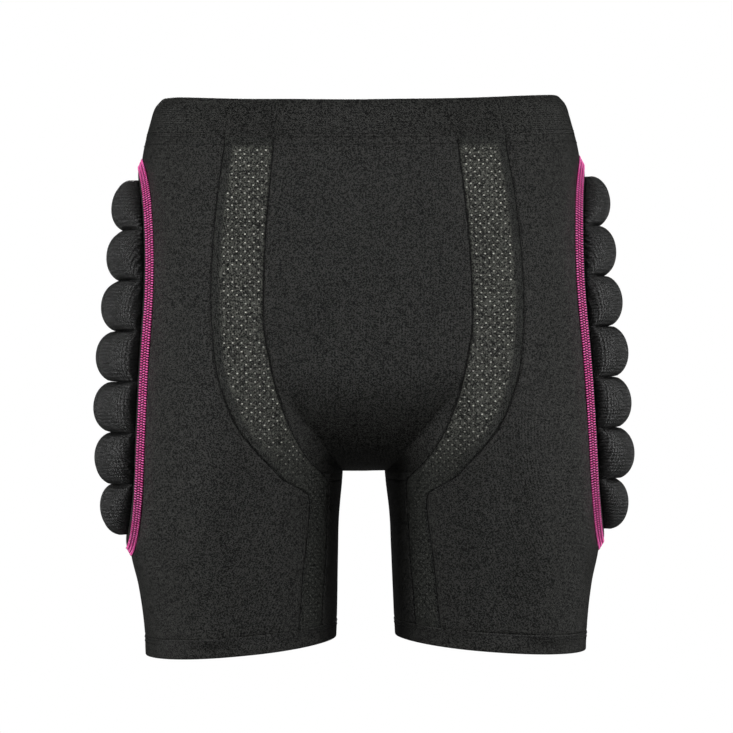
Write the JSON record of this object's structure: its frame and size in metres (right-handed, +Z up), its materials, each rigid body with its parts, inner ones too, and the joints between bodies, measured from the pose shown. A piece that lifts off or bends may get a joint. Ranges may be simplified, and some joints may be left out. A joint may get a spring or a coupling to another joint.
{
  "type": "padded impact shorts with tailbone protector",
  "caption": "Stretch shorts in worn form with puffed foam cells over hips, seat and tailbone, perforated front panels and a wide elastic waistband.",
  "frame": {"origin": "middle of the waist opening, level with the waist edge at the sides", "axes": "+Z up out of the waist opening, front of the shorts faces -Y, +X towards the viewer's right seen from the front"},
  "size_m": [0.409, 0.2621, 0.424],
  "materials": {
    "cloth": "fine black stretch knit, slight sheen",
    "elastic": "black stretch knit over wide elastic",
    "net": "black perforated knit with pale eyelets",
    "pad": "black ribbed knit over puffed foam",
    "pink_thread": "deep pink flat seam thread"
  },
  "bodies": {
    "root": {"waistband": "elastic", "front_panel": "cloth", "seat_panel": "cloth", "mesh_panel_left": "net", "mesh_panel_right": "net", "front_leg_left": "cloth", "front_leg_right": "cloth", "back_leg_left": "cloth", "back_leg_right": "cloth", "inner_thigh_left": "cloth", "inner_thigh_right": "cloth", "hip_panel_left": "cloth", "hip_panel_right": "cloth", "hem_left": "cloth", "hem_right": "cloth", "side_seam_left": "pink_thread", "side_seam_right": "pink_thread", "hip_pad_left": "pad", "hip_pad_right": "pad", "seat_pad_left": "pad", "seat_pad_right": "pad", "tailbone_pad": "pad"}
  },
  "joints": []
}
